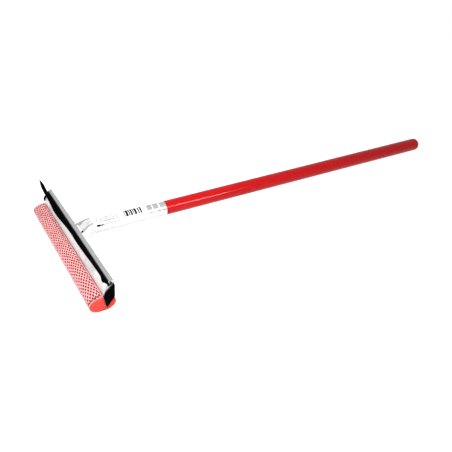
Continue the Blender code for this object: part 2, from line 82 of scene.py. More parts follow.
# The foam along the head: outlines between its ends, rings on its cut faces, steps of its rim, and its slits
MIDDLE_RINGS = 12
RING_SPACING = 0.01
CUT_MIDDLE = Vector((0.0005, 0.0010))
FACE_SHARES = (0.25, 0.5, 0.7, 0.85, 0.95)
CROWN_SHARE = 0.3
RIM_STEPS = 3
LIP_OVERLAP = 0.0001
LIP_STEP = 0.0002
HOOK_SLIT = 0.0014
SLIT_TIP = 0.3
CREASE_OVERLAP = 0.001
OVERRUN = 0.002
FOAM_SHARP_ANGLE = math.radians(50)

# The net: how far its long hems stay from the head, as shares of a hem's radius, and how its diamonds stray
# from an even pattern, less and less within a margin of its edges
HEM_GAP = 1.15
HEM_GAP_BACK = 1.6
STRAY_SEED = 7
STRAY_SCALE = 90
STRAY_MARGIN = 0.004
FLOOR_GAP = 0.00002

# The net's holes: their corners, and how far the tips and the sides are drawn in or out; the strand's height
# between crossings, on its slope and at the hole's edge, as shares of its height at a crossing
HOLE_CORNERS = ((2, 0), (1, 1), (0, 2), (-1, 1), (-2, 0), (-1, -1), (0, -2), (1, -1))
TIP_PULL = 0.86
SIDE_PULL = 1.08
STRAND_HEIGHT = 0.86
SLOPE_HEIGHT = 0.72
EDGE_HEIGHT = 0.2

# The hems: steps along half the head and round an end, how high an end's strand lies, in its own radius, and
# where a strand's round section starts, on the long hems and on those at the ends
HALF_STEPS = 40
END_STEPS = 120
END_HEM_HEIGHT = 0.8
LONG_HEM_ASIDE = Vector((0.0, 0.6, 0.8))
END_HEM_ASIDE = Vector((1, 0, 0))

# The ribs beside the yoke's window, on the tool: the foot of the near one, from the socket to the head
RIB_PATH = (
    Vector((0.0073, 0.0170, 0.0067)), Vector((0.0080, 0.0145, 0.0066)), Vector((0.0087, 0.0120, 0.0057)),
    Vector((0.0093, 0.0095, 0.0045)), Vector((0.0099, 0.0070, 0.0027)), Vector((0.0105, 0.0045, 0.0015)),
    Vector((0.0109, 0.0028, 0.0013)), Vector((0.0114, 0.0003, 0.0014)),
)
RIB_HEIGHTS = (0.0019, 0.0022, 0.0026, 0.0030, 0.0034, 0.0035, 0.0031, 0.0022)
RIB_THICKNESS = 0.0009
RIB_ROOT = 0.0006

# The head of a pin, a black piece standing in for deep shade: its radius and depth, the points round it,
# and its rings as shares of depth and radius
PIN_RADIUS = 0.0012
PIN_DEPTH = 0.0008
PIN_SIDES = 16
PIN_RINGS = ((0.0, 1.0), (0.5, 0.87), (1.0, 0.5))
PIN_TIP = 1.2

# The print on the label: start and end along the handle from the head, low and high round it from the top
TEXT_BLOCK = (0.0215, 0.0492, 0.0000, 0.0085)
MARK_BLOCK = (0.0206, 0.0250, 0.0101, 0.0126)
MARK_TAIL = (0.0250, 0.0292, 0.0105, 0.0125)
UNDERLINE = (0.0292, 0.0500, 0.0108, 0.0119)
BAR_ENDS = (-0.0060, 0.0089)
BARS = (
    (0.0578, 0.0587), (0.0597, 0.0627), (0.0636, 0.0651), (0.0660, 0.0683),
    (0.0692, 0.0704), (0.0712, 0.0741), (0.0757, 0.0774), (0.0785, 0.0806),
)
DIGIT_BLOCK = (0.0560, 0.0815, 0.0102, 0.0116)
PICTOGRAMS = (
    (0.0880, 0.0948, -0.0010, 0.0082), (0.0960, 0.1032, -0.0006, 0.0085), (0.1052, 0.1136, -0.0004, 0.0085),
)
DOTTED_LINE = (0.0885, 0.1136, 0.0114, 0.0127)

# The paper's seam: its place round the label, and how far from it the painted shade along it starts and stops
# fading
PAPER_SEAM = 0.0209
SEAM_SHADE_FADE = (0.0001, 0.0004)

# Dashes in the print: the width of a dash, the height of a row, the share left bare, and the first row
TEXT_LINE = 0.0028
TEXT_DASHES = (0.0009, TEXT_LINE, 0.22, 0)
DIGIT_DASHES = (0.0008, 1.0, 0.40, 7)
DOT_DASHES = (0.0011, 1.0, 0.35, 11)

# How strong the ink is, and how far a line of text reaches from its middle, as a share of its height
DIGIT_INK = 0.12
DOT_INK = 0.80
TAIL_INK = 0.85
FAINT_INK = 0.85
TEXT_REACH = 0.34

# Colours of wear, and the grey of the blade's painted sheen; what share of its red, green and blue the foam
# keeps under the net as painted shade, and that shade's edge
RUBBED_RED = (0.80, 0.16, 0.12)
PAINTED_SHEEN_GREY = (0.020, 0.020, 0.021)
DUST_GREY = (0.05, 0.05, 0.05)
NET_PAINTED_SHADE = (0.30, 0.05, 0.09)
NET_PAINTED_SHADE_EDGE = 0.0006

# Where the blade's painted sheen starts, and how high it reaches
SLOT_HEIGHT = 0.0300
SHEEN_REACH = 0.0100

# How many to a metre: the foam's large and small pores, the crystals of zinc, the twists of the yarn
PORE_SCALES = (1100.0, 2600.0)
CRYSTAL_SCALE = 260.0
TWIST_SCALE = 620.0

# The photograph's viewpoint
CAMERA_ROWS = (
    (0.47981, -0.40388, 0.77889, 0.62847),
    (0.8752, 0.28279, -0.3925, -0.09945),
    (-0.06173, 0.87001, 0.48916, 0.36565),
    (0, 0, 0, 1),
)
SENSOR_WIDTH = 36.0
LENS = 45.64

# The lamps: where they stand, what they shine at, and the streak lamp's size and the line that it lies along
KEY_PLACE = (0.30, -0.14, 0.64)
KEY_TARGET = (0.0, 0.04, 0.02)
STREAK_PLACE = (0.850, 0.575, 0.390)
STREAK_TARGET = (0.009, 0.175, 0.028)
STREAK_LINE = (0.036, 0.189, -0.121)
STREAK_LENGTH = 0.26
STREAK_WIDTH = 0.10


def setting_maker(kind, **details):
    """A function that makes settings of one kind, each with its own name, default and description."""

    def make(name, default, description):
        return kind(name=name, default=default, description=description, **details)

    return make


colour_property = setting_maker(FloatVectorProperty, subtype="COLOR", min=0, max=1)
length_property = setting_maker(FloatProperty, unit="LENGTH", min=0, precision=5)
share_property = setting_maker(FloatProperty, subtype="FACTOR", min=0, max=1)
angle_property = setting_maker(FloatProperty, subtype="ANGLE")
power_property = setting_maker(FloatProperty, unit="POWER", min=0)


class SqueegeeNet(bpy.types.PropertyGroup):
    """Sizes of the knitted net round the sponge."""

    mesh_length: length_property("Mesh length", 0.0077, "Length of one diamond of the net, along the head")
    mesh_height: length_property("Mesh height", 0.0036, "Height of one diamond of the net, round the sponge")
    hole_share: share_property("Hole share", 0.60, "Size of the hole as a share of its diamond")
    yarn_height: length_property("Yarn height", 0.0008, "How far the yarn stands above the foam")
    hem: length_property("Hem", 0.0005, "Radius of the bound edges of the net")
    slack: length_property("Slack", 0.00025, "How far the diamonds stray from an even pattern")
    twist: length_property("Twist", 0.012, "How far the near end of the net is drawn round askew")


class SqueegeeSponge(bpy.types.PropertyGroup):
    """Sizes of the foam under the net."""

    half_depth: length_property("Half depth", 0.0150, "Half the sponge's size across the head, net included")
    half_height: length_property("Half height", 0.0090, "Half the sponge's height, net included")
    lip: length_property("End lip", 0.0012, "How far the bare foam stands out past each end of the net")
    lip_inset: length_property("Lip inset", 0.0012, "How far the bare ends are drawn in from the net")
    rim: length_property("Rim", 0.0008, "Rounding of the foam's cut rims")
    crown: length_property("Crown", 0.0004, "How far the cut faces swell in their middle")
    crease: length_property("Crease", 0.0008, "Width of the slit in the cut faces")


class SqueegeeColours(bpy.types.PropertyGroup):
    """Colours of the finishes, as light gives them back."""

    handle_red: colour_property("Handle red", (0.53, 0.003, 0.005), "Paint of the wooden handle")
    paper: colour_property("Label paper", (0.82, 0.82, 0.81), "Paper sleeve on the socket")
    ink: colour_property("Label ink", (0.004, 0.004, 0.0045), "Print on the paper sleeve")
    white: colour_property("White paint", (0.80, 0.80, 0.80), "Paint of the yoke and its socket")
    # The ribs' grey is a darker copy of the white paint: painted shade for the ribs beside the yoke's window.
    primer: colour_property("Primer", (0.36, 0.36, 0.365), "Grey primer of the yoke's ribs")
    sheet_steel: colour_property("Sheet steel", (0.50, 0.50, 0.505), "Galvanised back sheet and end plates")
    plated_steel: colour_property("Plated steel", (0.57, 0.575, 0.575), "Bright front plate")
    rubber: colour_property("Rubber", (0.0025, 0.0025, 0.0027), "Wiping blade")
    plastic: colour_property("Plastic", (0.0012, 0.0012, 0.0014), "End caps and pins")
    foam: colour_property("Foam", (0.78, 0.060, 0.046), "Sponge")
    yarn: colour_property("Yarn", (0.83, 0.42, 0.42), "Net round the sponge")


class SqueegeeStage(bpy.types.PropertyGroup):
    """Floor and light of the studio."""

    floor_size: length_property("Floor size", 6.0, "Length and width of the floor")
    floor_glow: share_property("Floor glow", 0.86, "How much light the floor shows of its own")
    key_power: power_property("Key power", 1.75, "Power of the large lamp")
    key_size: length_property("Key size", 0.45, "Width of the large lamp")
    key_spread: angle_property("Key spread", math.radians(75), "How wide the large lamp shines")
    streak_power: power_property("Streak power", 3.2, "Power of the long lamp for the handle's streak")
    sky: share_property("Sky", 0.18, "Strength of the plain light from all round")


# Small helpers for node trees


def add_node(tree, kind, inputs=None, **settings):
    """A node of a kind, with its settings made and its inputs set or linked."""
    node = tree.nodes.new(kind)
    for name, value in settings.items():
        setattr(node, name, value)
    for name, value in (inputs or {}).items():
        if isinstance(value, bpy.types.NodeSocket):
            tree.links.new(value, node.inputs[name])
        else:
            node.inputs[name].default_value = value
    return node


def calc(tree, operation, *values):
    """The result of one step of arithmetic on numbers or sockets."""
    return add_node(tree, "ShaderNodeMath", dict(enumerate(values)), operation=operation).outputs[0]


def times(tree, first, second):
    """One value times another."""
    return calc(tree, "MULTIPLY", first, second)


def ramp(tree, value, low, high, first=0.0, last=1.0):
    """A value stretched from its own range to another, and held at its ends."""
    inputs = {"Value": value, "From Min": low, "From Max": high, "To Min": first, "To Max": last}
    return add_node(tree, "ShaderNodeMapRange", inputs, interpolation_type="SMOOTHSTEP").outputs["Result"]


def between(tree, mask, low, high):
    """A value between two values, by a mask from 0 to 1."""
    return ramp(tree, mask, 0.0, 1.0, low, high)


def strongest(tree, masks):
    """The strongest of several masks at each point."""
    most = masks[0]
    for mask in masks[1:]:
        most = calc(tree, "MAXIMUM", most, mask)
    return most


def blend_colour(tree, share, first, second):
    """A colour between two colours, by a share."""
    ends = [value if isinstance(value, bpy.types.NodeSocket) else (*value, 1) for value in (first, second)]
    return add_node(tree, "ShaderNodeMix", {0: share, 6: ends[0], 7: ends[1]}, data_type="RGBA").outputs[2]


def tint(tree, colour, mask, strength, towards):
    """A colour taken part of the way to another where a mask is."""
    return blend_colour(tree, times(tree, mask, strength), colour, towards)


def place_of(tree):
    """Each point's place in the frame, in metres."""
    return add_node(tree, "ShaderNodeTexCoord").outputs["Object"]


def cloud(tree, point, scale, detail=4.0, roughness=0.55):
    """A smooth random value from 0 to 1 that changes over the surface."""
    inputs = {"Vector": point, "Scale": scale, "Detail": detail, "Roughness": roughness}
    return add_node(tree, "ShaderNodeTexNoise", inputs).outputs["Fac"]


def start_group(name, inputs, outputs):
    """An empty shader node group: its tree, the sockets that come in, and the node that gives out."""
    tree = bpy.data.node_groups.new(name, "ShaderNodeTree")
    for label, kind, default in inputs:
        tree.interface.new_socket(label, in_out="INPUT", socket_type=kind).default_value = default
    for label, kind in outputs:
        tree.interface.new_socket(label, in_out="OUTPUT", socket_type=kind)
    return tree, tree.nodes.new("NodeGroupInput").outputs, tree.nodes.new("NodeGroupOutput")


def give_out(tree, node, **values):
    """Links a group's results to its outputs, whose names have spaces for underscores."""
    for name, value in values.items():
        tree.links.new(value, node.inputs[name.replace("_", " ")])


def use_group(tree, name, **inputs):
    """The outputs of a shader node group placed in a tree with its own values."""
    node = add_node(tree, "ShaderNodeGroup", node_tree=bpy.data.node_groups[name])
    for label, value in inputs.items():
        socket = node.inputs[label.replace("_", " ")]
        if isinstance(value, bpy.types.NodeSocket):
            tree.links.new(value, socket)
        else:
            socket.default_value = value
    return node.outputs


def grain(tree, point, size, contrast=1.0):
    """The shared grain, placed in a finish with the size of its features."""
    return use_group(tree, "Grain", Point=point, Feature_Size=size, Contrast=contrast)


def wear(tree, point, patch, dust, scratches):
    """The shared dust and scuffs, placed in a finish with the size of a patch and the strength of each."""
    return use_group(tree, "Dust and scuffs", Point=point, Patch_Size=patch, Dust=dust, Scratches=scratches)


# Effects that several finishes share

VECTOR = "NodeSocketVector"
FLOAT = "NodeSocketFloat"


def make_tool_place_group():
    """Places on the tool: the point in the tool's own axes, how far along the handle, how far round it."""
    outputs = (("Point", VECTOR), ("Along", FLOAT), ("Around", FLOAT))
    tree, _, last = start_group("Place on the tool", (), outputs)
    turned = Matrix.Rotation(TOOL_DIP, 3, "X") @ TOOL_PLACE
    inputs = {"Vector": place_of(tree), "Location": -turned, "Rotation": (TOOL_DIP, 0, 0)}
    point = add_node(tree, "ShaderNodeMapping", inputs).outputs["Vector"]
    parts = add_node(tree, "ShaderNodeSeparateXYZ", {"Vector": point}).outputs
    angle = calc(tree, "ARCTAN2", parts["X"], parts["Z"])
    give_out(tree, last, Point=point, Along=parts["Y"], Around=times(tree, angle, LABEL_RADIUS))


def make_grain_group():
    """Grain: streaks or a fine texture, from the size of one feature along each axis."""
    inputs = (
        ("Point", VECTOR, (0, 0, 0)), ("Feature Size", VECTOR, (0.001, 0.001, 0.001)),
        ("Contrast", FLOAT, 1.0),
    )
    tree, given, last = start_group("Grain", inputs, (("Mask", FLOAT), ("Height", FLOAT)))
    sizes = {0: given["Point"], 1: given["Feature Size"]}
    point = add_node(tree, "ShaderNodeVectorMath", sizes, operation="DIVIDE").outputs[0]
    coarse = cloud(tree, point, 1.0)
    fine = cloud(tree, point, 3.7, detail=2.0)
    height = calc(tree, "ADD", times(tree, coarse, 0.65), times(tree, fine, 0.35))
    centred = times(tree, calc(tree, "SUBTRACT", height, 0.5), given["Contrast"])
    mask = calc(tree, "ADD", times(tree, centred, 2.2), 0.5)
    give_out(tree, last, Mask=between(tree, mask, 0.0, 1.0), Height=height)


def make_wear_group():
    """Dust and scuffs: soft clouds of dust, and thin scratches here and there."""
    inputs = (
        ("Point", VECTOR, (0, 0, 0)), ("Patch Size", FLOAT, 0.02),
        ("Dust", FLOAT, 0.3), ("Scratches", FLOAT, 0.3),
    )
    tree, given, last = start_group("Dust and scuffs", inputs, (("Dust", FLOAT), ("Scratches", FLOAT)))
    scale = calc(tree, "DIVIDE", 1.0, given["Patch Size"])
    patches = cloud(tree, given["Point"], scale)
    dust = times(tree, ramp(tree, patches, 0.45, 0.75), given["Dust"])
    inputs = {"Vector": given["Point"], "Rotation": (0.4, 0.9, 0.5), "Scale": (1.0, 0.12, 0.5)}
    slanted = add_node(tree, "ShaderNodeMapping", inputs).outputs["Vector"]
    lines = cloud(tree, slanted, times(tree, scale, 6.0), detail=1.0)
    off_line = calc(tree, "ABSOLUTE", calc(tree, "SUBTRACT", lines, 0.5))
    line = ramp(tree, off_line, 0.004, 0.016, 1.0, 0.0)
    here = ramp(tree, cloud(tree, given["Point"], times(tree, scale, 1.7)), 0.52, 0.66)
    scratches = times(tree, times(tree, line, here), given["Scratches"])
    give_out(tree, last, Dust=dust, Scratches=scratches)


def make_crystal_group():
    """Zinc crystals: one random value for each crystal, from how many there are to a metre."""
    inputs = (("Point", VECTOR, (0, 0, 0)), ("Scale", FLOAT, CRYSTAL_SCALE))
    tree, given, last = start_group("Zinc crystals", inputs, (("Mask", FLOAT),))
    crystals = add_node(tree, "ShaderNodeTexVoronoi", {"Vector": given["Point"], "Scale": given["Scale"]})
    parts = add_node(tree, "ShaderNodeSeparateColor", {"Color": crystals.outputs["Color"]}).outputs
    give_out(tree, last, Mask=parts["Red"])


def make_block_group():
    """Printed block: 1 inside a rectangle on the label, 0 outside it."""
    inputs = [(name, FLOAT, 0.0) for name in ("Along", "Around", "Start", "End", "Low", "High")]
    tree, given, last = start_group("Printed block", inputs, (("Mask", FLOAT),))
    mask = 1.0
    for value, low, high in (("Along", "Start", "End"), ("Around", "Low", "High")):
        mask = times(tree, mask, calc(tree, "GREATER_THAN", given[value], given[low]))
        mask = times(tree, mask, calc(tree, "LESS_THAN", given[value], given[high]))
    give_out(tree, last, Mask=mask)


def make_shared_groups():
    """All the effects that the finishes use."""
    make_tool_place_group()
    make_grain_group()
    make_wear_group()
    make_crystal_group()
    make_block_group()


# Finishes


def start_finish(name):
    """A new material: the material, its tree and its Principled shader."""
    look = bpy.data.materials.new(name)
    look.use_nodes = True
    return look, look.node_tree, look.node_tree.nodes["Principled BSDF"]


def finish_with(tree, shader, colour, roughness, height=None, depth=0.0001, **constants):
    """Links colour, roughness and relief to a shader, and sets its constants, whose names have spaces."""
    tree.links.new(colour, shader.inputs["Base Color"])
    tree.links.new(roughness, shader.inputs["Roughness"])
    if height is not None:
        bump = add_node(tree, "ShaderNodeBump", {"Height": height, "Distance": depth, "Strength": 1.0})
        tree.links.new(bump.outputs["Normal"], shader.inputs["Normal"])
    for label, value in constants.items():
        shader.inputs[label.replace("_", " ")].default_value = value


def dusty_roughness(tree, mask, dust, smooth, dull, added):
    """Roughness between two values by a mask, and more of it where dust lies."""
    return calc(tree, "ADD", between(tree, mask, smooth, dull), times(tree, dust, added))


def handle_paint(colours):
    """Red paint on turned wood: faint ridges of grain, dark pores and a few rubbed spots."""
    look, tree, shader = start_finish("handle_paint")
    point = use_group(tree, "Place on the tool")["Point"]
    ridges = grain(tree, point, (0.0009, 0.045, 0.0009))
    pores = grain(tree, point, (0.0004, 0.006, 0.0004), contrast=2.0)
    worn = wear(tree, point, patch=0.03, dust=0.25, scratches=0.25)
    red = Vector(colours.handle_red)
    colour = blend_colour(tree, ridges["Mask"], red * 0.86, red * 1.06)
    colour = tint(tree, colour, ramp(tree, pores["Mask"], 0.25, 0.02), strength=0.35, towards=red * 0.45)
    colour = tint(tree, colour, worn["Scratches"], strength=0.5, towards=RUBBED_RED)
    roughness = dusty_roughness(tree, ridges["Mask"], worn["Dust"], smooth=0.055, dull=0.085, added=0.06)
    finish_with(tree, shader, colour, roughness, ridges["Height"], depth=0.000004, Specular_IOR_Level=0.13)
    return look


def label_print(tree, tool):
    """How dark the ink is at each point of the label: (solid ink, faint ink)."""
    along, around = tool["Along"], tool["Around"]

    def block(sizes):
        ends = dict(zip(("Start", "End", "Low", "High"), sizes))
        return use_group(tree, "Printed block", Along=along, Around=around, **ends)["Mask"]

    def dashes(width, height, bare, first_row):
        column = calc(tree, "FLOOR", calc(tree, "DIVIDE", along, width))
        row = calc(tree, "ADD", calc(tree, "FLOOR", calc(tree, "DIVIDE", around, height)), first_row)
        cell = add_node(tree, "ShaderNodeCombineXYZ", {"X": column, "Y": row}).outputs[0]
        value = add_node(tree, "ShaderNodeTexWhiteNoise", {"Vector": cell}).outputs["Value"]
        return calc(tree, "GREATER_THAN", value, bare)

    line_place = calc(tree, "FRACT", calc(tree, "DIVIDE", around, TEXT_LINE))
    off_middle = calc(tree, "ABSOLUTE", calc(tree, "SUBTRACT", line_place, 0.5))
    in_line = calc(tree, "LESS_THAN", off_middle, TEXT_REACH)
    text = times(tree, block(TEXT_BLOCK), times(tree, in_line, dashes(*TEXT_DASHES)))
    digits = times(tree, block(DIGIT_BLOCK), dashes(*DIGIT_DASHES))
    dots = times(tree, block(DOTTED_LINE), dashes(*DOT_DASHES))
    solid = [block(MARK_BLOCK)] + [block(bar + BAR_ENDS) for bar in BARS]
    for mask, ink in ((digits, DIGIT_INK), (dots, DOT_INK), (block(MARK_TAIL), TAIL_INK)):
        solid.append(times(tree, mask, ink))
    faint = [text, block(UNDERLINE)] + [block(sizes) for sizes in PICTOGRAMS]
    return strongest(tree, solid), strongest(tree, faint)


def label_paper(colours):
    """Thin white paper rolled round the socket, with generic lines and bars and a glued seam with painted
    shade along it.
    """
    look, tree, shader = start_finish("label_paper")
    tool = use_group(tree, "Place on the tool")
    fibres = grain(tree, tool["Point"], (0.0006, 0.0009, 0.0006))
    worn = wear(tree, tool["Point"], patch=0.012, dust=0.3, scratches=0.2)
    solid, faint = label_print(tree, tool)
    paper = Vector(colours.paper)
    colour = blend_colour(tree, fibres["Mask"], paper * 0.97, paper * 1.02)
    colour = tint(tree, colour, worn["Dust"], strength=0.25, towards=paper * 0.80)
    # Painted shade: a dark line along the seam, fading away to either side.
    off_seam = calc(tree, "ABSOLUTE", calc(tree, "SUBTRACT", tool["Around"], PAPER_SEAM))
    seam_shade = ramp(tree, off_seam, *SEAM_SHADE_FADE, 1.0, 0.0)
    colour = tint(tree, colour, seam_shade, strength=0.35, towards=paper * 0.45)
    colour = tint(tree, colour, faint, strength=FAINT_INK, towards=paper * 0.30)
    colour = blend_colour(tree, solid, colour, colours.ink)
    roughness = between(tree, fibres["Mask"], 0.50, 0.62)
    step = calc(tree, "GREATER_THAN", tool["Around"], PAPER_SEAM)
    height = calc(tree, "ADD", times(tree, fibres["Height"], 0.3), step)
    finish_with(tree, shader, colour, roughness, height, depth=0.0001, Specular_IOR_Level=0.1)
    return look


def steel_paint(name, paint):
    """Paint baked on the yoke's steel: a slight ripple, with a little dust and a few scuffs here and there.
    """
    look, tree, shader = start_finish(name)
    point = place_of(tree)
    ripple = grain(tree, point, (0.0018, 0.0018, 0.0018))
    worn = wear(tree, point, patch=0.015, dust=0.5, scratches=0.4)
    paint = Vector(paint)
    colour = blend_colour(tree, ripple["Mask"], paint * 0.97, paint * 1.02)
    colour = tint(tree, colour, worn["Dust"], strength=0.5, towards=paint * 0.78)
    colour = tint(tree, colour, worn["Scratches"], strength=0.5, towards=paint * 0.6)
    roughness = ramp(tree, worn["Dust"], 0.0, 0.5, 0.32, 0.50)
    finish_with(tree, shader, colour, roughness, ripple["Height"], depth=0.00006, Specular_IOR_Level=0.4)
    return look


def metal(name, colour, streaks, streak_share, spangle, smooth, dull, depth):
    """Rolled or plated steel: fine streaks, crystals of zinc, dust and a few scratches."""
    look, tree, shader = start_finish(name)
    point = place_of(tree)
    rolled = grain(tree, point, streaks, contrast=1.2)
    worn = wear(tree, point, patch=0.018, dust=0.6, scratches=0.5)
    base = Vector(colour)
    made = blend_colour(tree, times(tree, rolled["Mask"], streak_share), base, base * 0.70)
    crystals = use_group(tree, "Zinc crystals", Point=point, Scale=CRYSTAL_SCALE)
    made = tint(tree, made, crystals["Mask"], strength=spangle, towards=base * 0.62)
    made = tint(tree, made, worn["Dust"], strength=0.35, towards=base * 0.62)
    made = tint(tree, made, worn["Scratches"], strength=0.6, towards=base * 1.12)
    roughness = dusty_roughness(tree, rolled["Mask"], worn["Dust"], smooth, dull, added=0.25)
    finish_with(tree, shader, made, roughness, rolled["Height"], depth, Metallic=1.0)
    return look


def fastener_steel(colours):
    """Plain zinc-plated steel, made once for the nail and the rivets."""
    name = "fastener_steel"
    if name in bpy.data.materials:
        return bpy.data.materials[name]
    return metal(
        name, colours.sheet_steel, streaks=(0.0008, 0.0008, 0.0008), streak_share=0.4, spangle=0.1,
        smooth=0.35, dull=0.5, depth=0.00004,
    )


def rubber(colours):
    """Black moulded rubber: lines from the mould along it, and a painted sheen near the slot, lighter grey
    where light falls on it.
    """
    look, tree, shader = start_finish("blade_rubber")
    point = place_of(tree)
    lines = grain(tree, point, (0.08, 0.0012, 0.0012), contrast=1.3)
    skin = grain(tree, point, (0.0006, 0.0006, 0.0006))
    worn = wear(tree, point, patch=0.02, dust=0.8, scratches=0.4)
    height = add_node(tree, "ShaderNodeSeparateXYZ", {"Vector": point}).outputs["Z"]
    # Painted light: lighter grey near the slot, fading to black towards the free edge, as if lit there.
    near_slot = ramp(tree, height, SLOT_HEIGHT, SLOT_HEIGHT + SHEEN_REACH, 1.0, 0.0)
    painted_sheen = times(tree, near_slot, between(tree, lines["Mask"], 0.35, 0.80))
    colour = blend_colour(tree, painted_sheen, colours.rubber, PAINTED_SHEEN_GREY)
    colour = tint(tree, colour, worn["Dust"], strength=0.10, towards=DUST_GREY)
    roughness = between(tree, skin["Mask"], 0.42, 0.60)
    relief = calc(tree, "ADD", lines["Height"], times(tree, skin["Height"], 0.4))
    finish_with(tree, shader, colour, roughness, relief, depth=0.00008, Specular_IOR_Level=0.0)
    return look


def black_plastic(colours):
    """Black moulded plastic with a fine spark texture and pale scuffs, made once for the caps and pins."""
    name = "cap_plastic"
    if name in bpy.data.materials:
        return bpy.data.materials[name]
    look, tree, shader = start_finish(name)
    point = place_of(tree)
    spark = grain(tree, point, (0.00035, 0.00035, 0.00035), contrast=1.5)
    worn = wear(tree, point, patch=0.008, dust=0.5, scratches=0.5)
    base = Vector(colours.plastic)
    colour = blend_colour(tree, spark["Mask"], base, base * 1.8)
    colour = tint(tree, colour, worn["Scratches"], strength=0.5, towards=DUST_GREY)
    roughness = dusty_roughness(tree, spark["Mask"], worn["Dust"], smooth=0.36, dull=0.50, added=0.15)
    finish_with(tree, shader, colour, roughness, spark["Height"], depth=0.00005, Specular_IOR_Level=0.005)
    return look


def foam_finish(colours):
    """Open red foam: small round pores with painted shade inside, over a slightly patchy red; painted shade
    under the net.
    """
    look, tree, shader = start_finish("sponge_foam")
    point = place_of(tree)
    patches = grain(tree, point, (0.006, 0.006, 0.006))
    big, small = (
        add_node(tree, "ShaderNodeTexVoronoi", {"Vector": point, "Scale": scale}).outputs["Distance"]
        for scale in PORE_SCALES
    )
    wall = calc(tree, "MAXIMUM", big, times(tree, small, 0.8))
    red = Vector(colours.foam)
    pale = Vector((min(red.x * 1.05, 1), red.y * 1.35, red.z * 1.35))
    colour = blend_colour(tree, patches["Mask"], red * 0.93, pale)
    # Painted shade: each pore is darkened inside, where its hollow would be shaded.
    colour = tint(tree, colour, ramp(tree, wall, 0.30, 0.10), strength=0.40, towards=red * 0.55)
    # Painted shade: the foam is darkened under the net, in place of the shadow that the net casts into its
    # holes.
    along = add_node(tree, "ShaderNodeSeparateXYZ", {"Vector": point}).outputs["X"]
    under_net_shade = ramp(tree, calc(tree, "ABSOLUTE", along), NET_HALF_LENGTH, NET_HALF_LENGTH - NET_PAINTED_SHADE_EDGE)
    colour = blend_colour(tree, under_net_shade, colour, red * Vector(NET_PAINTED_SHADE))
    roughness = ramp(tree, wall, 0.0, 0.6, 0.95, 0.85)
    finish_with(tree, shader, colour, roughness, wall, depth=0.00018, Specular_IOR_Level=0.15)
    return look


def yarn_finish(colours):
    """Pink net yarn: twisted fibres with a soft fuzz, paler where it is rubbed."""
    look, tree, shader = start_finish("net_yarn")
    point = place_of(tree)
    fuzz = grain(tree, point, (0.00035, 0.00025, 0.00025), contrast=1.5)
    patches = grain(tree, point, (0.012, 0.006, 0.006))
    inputs = {"Vector": point, "Scale": TWIST_SCALE, "Distortion": 2.0, "Detail": 1.0}
    twist = add_node(tree, "ShaderNodeTexWave", inputs, bands_direction="DIAGONAL").outputs["Fac"]
    pink = Vector(colours.yarn)
    pale = (1.0, pink.y * 1.14, pink.z * 1.14)
    deep = (pink.x * 0.92, pink.y * 0.62, pink.z * 0.62)
    colour = blend_colour(tree, patches["Mask"], pink * 0.96, pale)
    colour = blend_colour(tree, ramp(tree, fuzz["Mask"], 0.45, 0.0, 0.0, 0.4), colour, deep)
    roughness = between(tree, fuzz["Mask"], 0.95, 0.75)
    relief = calc(tree, "ADD", fuzz["Height"], times(tree, twist, 0.5))
    finish_with(tree, shader, colour, roughness, relief, depth=0.00012, Specular_IOR_Level=0.2)
    return look


# Solids that stay

SMOOTH_GROUP = "Smooth rounded faces"
SHARP_ANGLE = math.radians(35)
FACET_GAP = 0.00001
CAP_EDGE = 0.0002


def make_smoothing_group():
    """Joins a solid's loose facets, and shades it smooth where its faces meet at less than an angle."""
    tree = bpy.data.node_groups.new(SMOOTH_GROUP, "GeometryNodeTree")
    tree.interface.new_socket("Geometry", in_out="INPUT", socket_type="NodeSocketGeometry")
    tree.interface.new_socket("Sharp Angle", in_out="INPUT", socket_type=FLOAT)
    tree.interface.new_socket("Geometry", in_out="OUTPUT", socket_type="NodeSocketGeometry")
    given = tree.nodes.new("NodeGroupInput").outputs
    inputs = {"Geometry": given[0], "Distance": FACET_GAP}
    joined = add_node(tree, "GeometryNodeMergeByDistance", inputs).outputs[0]
    inputs = {"Geometry": joined, "Name": "custom_normal"}
    bare = add_node(tree, "GeometryNodeRemoveAttribute", inputs).outputs[0]
    inputs = {"Geometry": bare, "Shade Smooth": True}
    smooth = add_node(tree, "GeometryNodeSetShadeSmooth", inputs, domain="FACE").outputs[0]
    angle = add_node(tree, "GeometryNodeInputMeshEdgeAngle").outputs["Unsigned Angle"]
    inputs = {0: angle, 1: given[1]}
    sharp = add_node(tree, "FunctionNodeCompare", inputs, operation="GREATER_THAN").outputs[0]
    inputs = {"Geometry": smooth, "Selection": sharp, "Shade Smooth": False}
    kept = add_node(tree, "GeometryNodeSetShadeSmooth", inputs, domain="EDGE").outputs[0]
    tree.links.new(kept, tree.nodes.new("NodeGroupOutput").inputs[0])
    return tree


def dress_solid(name, look, edge=0.0):
    """Gives a solid of the frame its finish and smooth shading, and softens its edges if a width is given."""
    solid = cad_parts[name]
    solid.data.materials.clear()
    solid.data.materials.append(look)
    group = bpy.data.node_groups.get(SMOOTH_GROUP) or make_smoothing_group()
    smoothing = solid.modifiers.new("smooth faces", "NODES")
    smoothing.node_group = group
    smoothing[group.interface.items_tree["Sharp Angle"].identifier] = SHARP_ANGLE
    if edge > 0:
        bevel = solid.modifiers.new("soft edges", "BEVEL")
        bevel.width = edge
        bevel.segments = 2
        bevel.angle_limit = SHARP_ANGLE
        bevel.harden_normals = False


# Small helpers for meshes


def add_mesh(name, points, faces):
    """A new mesh in the scene."""
    mesh = bpy.data.meshes.new(name)
    mesh.from_pydata(points, [], faces)
    thing = bpy.data.objects.new(name, mesh)
    bpy.context.scene.collection.objects.link(thing)
    return thing


def make_object(name, points, faces, look):
    """A smooth-shaded mesh piece that rides on the tool."""
    thing = add_mesh(name, points, faces)
    thing.data.validate()
    thing.data.shade_smooth()
    thing.data.materials.append(look)
    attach(thing, BODY)
    return thing


